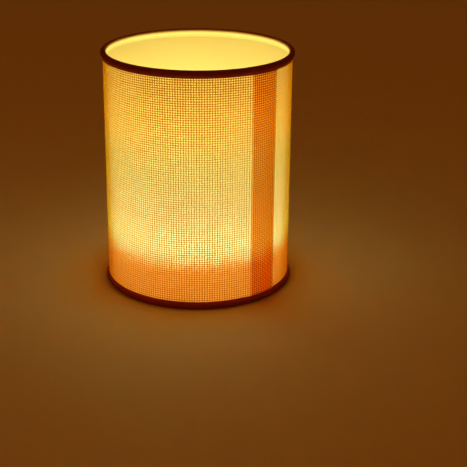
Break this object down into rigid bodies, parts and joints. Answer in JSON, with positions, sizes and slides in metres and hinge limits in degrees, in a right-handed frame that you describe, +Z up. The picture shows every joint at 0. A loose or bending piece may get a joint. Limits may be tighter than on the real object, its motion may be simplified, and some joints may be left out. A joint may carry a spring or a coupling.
{
  "type": "drum lamp shade",
  "caption": "Straight-sided drum lamp shade: woven cover on a stiff liner, rolled rims at both ends, and a recessed spider with a fitter ring for a table lamp's lampholder.",
  "frame": {"origin": "on the drum's axis, at the foot of the lower rim", "axes": "+Z up along the drum's axis; the front is -Y and the right is +X, and the lap lies to the right of the front"},
  "size_m": [0.16, 0.16, 0.2],
  "materials": {
    "cover": "coarse open plain weave, golden tan, glows when lit from inside",
    "liner": "translucent off-white sheet, matt",
    "tape": "clear double-sided tape",
    "ring_wire": "white coated steel wire",
    "edging": "fine woven edging, dark brown",
    "fitter": "white powder coat"
  },
  "bodies": {
    "root": {"cover": "cover", "liner": "liner", "lap_tape": "tape", "upper_ring": "ring_wire", "lower_ring": "ring_wire", "upper_edging": "edging", "lower_edging": "edging", "fitter_ring": "fitter", "spider_arm_1": "fitter", "spider_arm_2": "fitter", "spider_arm_3": "fitter"}
  },
  "joints": []
}
